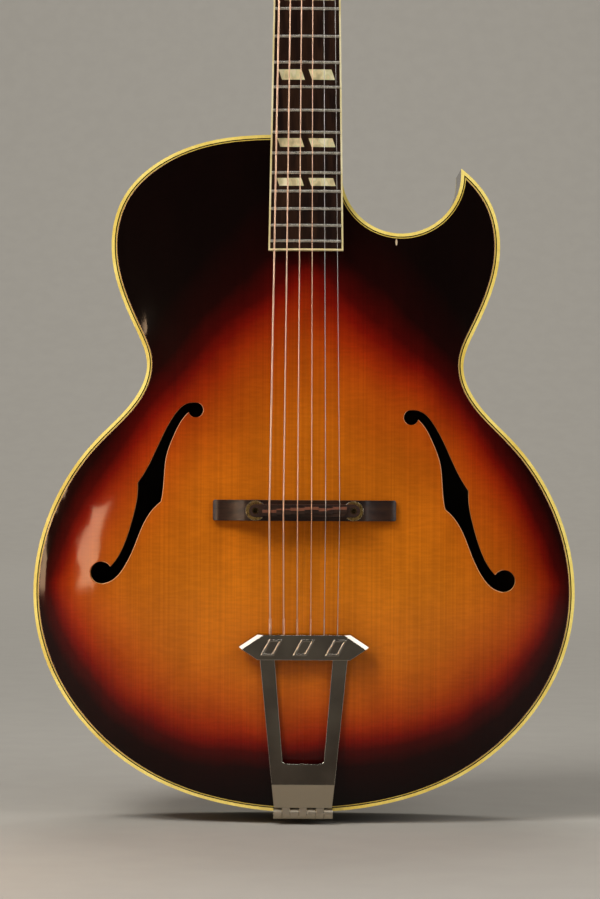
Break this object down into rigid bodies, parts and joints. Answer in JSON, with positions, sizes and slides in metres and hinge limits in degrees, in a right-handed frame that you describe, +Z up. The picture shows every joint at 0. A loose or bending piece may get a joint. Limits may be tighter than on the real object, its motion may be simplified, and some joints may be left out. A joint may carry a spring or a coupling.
{
  "type": "archtop guitar",
  "caption": "Hollow acoustic archtop guitar with a pointed cutaway, f-shaped sound holes, floating adjustable bridge, hinged trapeze tailpiece and worm-geared tuners.",
  "frame": {"origin": "centre of the strap button's outer flat face, on the guitar's centre plane at half the depth of its sides", "axes": "+Z up the body towards the head, +X to the treble side, -Y out of the top plate"},
  "size_m": [0.408, 0.1447, 1.045],
  "materials": {
    "spruce": "gloss lacquer, sunburst",
    "maple": "gloss lacquer, dark brown",
    "rosewood": "oiled",
    "cream_celluloid": "polished",
    "black_celluloid": "polished",
    "pearl": "polished",
    "bone": "polished",
    "nickel": "polished nickel plate",
    "brass": "tarnished",
    "steel": "drawn wire, the four lower strings wrapped",
    "ivoroid": "polished"
  },
  "bodies": {
    "guitar": {"back_bass": "maple", "back_treble": "maple", "binding_back": "cream_celluloid", "binding_top": "cream_celluloid", "bracket_screws": "nickel", "bridge_base": "rosewood", "bridge_posts": "brass", "fingerboard": "rosewood", "fingerboard_binding": "cream_celluloid", "frets": "nickel", "head_screws": "nickel", "head_veneer": "black_celluloid", "heel_cap": "cream_celluloid", "hinge_pin": "nickel", "inlays": "pearl", "linings": "maple", "neck": "maple", "neck_block": "maple", "nut": "bone", "purfling_black": "black_celluloid", "purfling_white": "cream_celluloid", "rim_bass": "maple", "rim_cutaway": "maple", "rim_treble": "maple", "strap_button": "ivoroid", "strings_head": "steel", "tail_block": "maple", "tailpiece_bracket": "nickel", "tone_bars": "spruce", "top_bass": "spruce", "top_treble": "spruce", "truss_rod": "steel", "truss_rod_cover": "black_celluloid", "tuner_bushings": "nickel", "tuner_housings": "nickel"},
    "saddle": {"bridge_saddle": "rosewood"},
    "wheel_bass": {"thumbwheel_bass": "brass"},
    "wheel_treble": {"thumbwheel_treble": "brass"},
    "tailpiece": {"tailpiece_frame": "nickel", "tailpiece_crest": "nickel", "strings_tail": "steel"},
    "strings": {"strings_speaking": "steel"},
    "key_1": {"tuner_button_1": "cream_celluloid", "tuner_shaft_1": "nickel"},
    "post_1": {"string_post_1": "nickel"},
    "key_2": {"tuner_button_2": "cream_celluloid", "tuner_shaft_2": "nickel"},
    "post_2": {"string_post_2": "nickel"},
    "key_3": {"tuner_button_3": "cream_celluloid", "tuner_shaft_3": "nickel"},
    "post_3": {"string_post_3": "nickel"},
    "key_4": {"tuner_button_4": "cream_celluloid", "tuner_shaft_4": "nickel"},
    "post_4": {"string_post_4": "nickel"},
    "key_5": {"tuner_button_5": "cream_celluloid", "tuner_shaft_5": "nickel"},
    "post_5": {"string_post_5": "nickel"},
    "key_6": {"tuner_button_6": "cream_celluloid", "tuner_shaft_6": "nickel"},
    "post_6": {"string_post_6": "nickel"}
  },
  "joints": [
    {"name": "saddle_height", "type": "slide", "parent": "guitar", "child": "saddle", "axis": [0, -1, 0], "range_m": [-0.0015, 0.0015]},
    {"name": "thumbwheel_bass_turn", "type": "hinge", "parent": "saddle", "child": "wheel_bass", "pos_m": [-0.0365, -0.07195, 0.23671], "axis": [0, -1, 0], "range_deg": [-685.32, 685.32]},
    {"name": "thumbwheel_treble_turn", "type": "hinge", "parent": "saddle", "child": "wheel_treble", "pos_m": [0.0365, -0.07195, 0.23671], "axis": [0, -1, 0], "range_deg": [-685.32, 685.32]},
    {"name": "tailpiece_hinge", "type": "hinge", "parent": "guitar", "child": "tailpiece", "pos_m": [0, -0.0475, 0.0084], "axis": [1, 0, 0], "range_deg": [-0.4, 0.4]},
    {"name": "string_lift", "type": "hinge", "parent": "guitar", "child": "strings", "pos_m": [0, -0.03525, 0.86775], "axis": [1, 0, 0], "range_deg": [-0.15, 0.15]},
    {"name": "tuner_1_turn", "type": "hinge", "parent": "guitar", "child": "key_1", "pos_m": [-0.0235, 0.00809, 0.91208], "axis": [-1, 0, 0], "continuous": true},
    {"name": "string_post_1_turn", "type": "hinge", "parent": "guitar", "child": "post_1", "pos_m": [-0.0235, -0.01339, 0.91183], "axis": [0, -0.9444, 0.3289], "continuous": true},
    {"name": "tuner_2_turn", "type": "hinge", "parent": "guitar", "child": "key_2", "pos_m": [-0.026, 0.0219, 0.95175], "axis": [-1, 0, 0], "continuous": true},
    {"name": "string_post_2_turn", "type": "hinge", "parent": "guitar", "child": "post_2", "pos_m": [-0.026, 0.00042, 0.9515], "axis": [0, -0.9444, 0.3289], "continuous": true},
    {"name": "tuner_3_turn", "type": "hinge", "parent": "guitar", "child": "key_3", "pos_m": [-0.0285, 0.03571, 0.99141], "axis": [-1, 0, 0], "continuous": true},
    {"name": "string_post_3_turn", "type": "hinge", "parent": "guitar", "child": "post_3", "pos_m": [-0.0285, 0.01424, 0.99116], "axis": [0, -0.9444, 0.3289], "continuous": true},
    {"name": "tuner_4_turn", "type": "hinge", "parent": "guitar", "child": "key_4", "pos_m": [0.0285, 0.03571, 0.99141], "axis": [1, 0, 0], "continuous": true},
    {"name": "string_post_4_turn", "type": "hinge", "parent": "guitar", "child": "post_4", "pos_m": [0.0285, 0.01424, 0.99116], "axis": [0, -0.9444, 0.3289], "continuous": true},
    {"name": "tuner_5_turn", "type": "hinge", "parent": "guitar", "child": "key_5", "pos_m": [0.026, 0.0219, 0.95175], "axis": [1, 0, 0], "continuous": true},
    {"name": "string_post_5_turn", "type": "hinge", "parent": "guitar", "child": "post_5", "pos_m": [0.026, 0.00042, 0.9515], "axis": [0, -0.9444, 0.3289], "continuous": true},
    {"name": "tuner_6_turn", "type": "hinge", "parent": "guitar", "child": "key_6", "pos_m": [0.0235, 0.00809, 0.91208], "axis": [1, 0, 0], "continuous": true},
    {"name": "string_post_6_turn", "type": "hinge", "parent": "guitar", "child": "post_6", "pos_m": [0.0235, -0.01339, 0.91183], "axis": [0, -0.9444, 0.3289], "continuous": true}
  ],
  "couplings": [
    {"joint": "thumbwheel_bass_turn", "follows": "saddle_height", "rad_per_m": 7915.8},
    {"joint": "thumbwheel_treble_turn", "follows": "saddle_height", "rad_per_m": 7915.8},
    {"joint": "tailpiece_hinge", "follows": "saddle_height", "rad_per_m": 4.38},
    {"joint": "string_lift", "follows": "saddle_height", "rad_per_m": -1.5847},
    {"joint": "string_post_1_turn", "follows": "tuner_1_turn", "ratio": 0.066667},
    {"joint": "string_post_2_turn", "follows": "tuner_2_turn", "ratio": 0.066667},
    {"joint": "string_post_3_turn", "follows": "tuner_3_turn", "ratio": 0.066667},
    {"joint": "string_post_4_turn", "follows": "tuner_4_turn", "ratio": 0.066667},
    {"joint": "string_post_5_turn", "follows": "tuner_5_turn", "ratio": 0.066667},
    {"joint": "string_post_6_turn", "follows": "tuner_6_turn", "ratio": 0.066667}
  ]
}
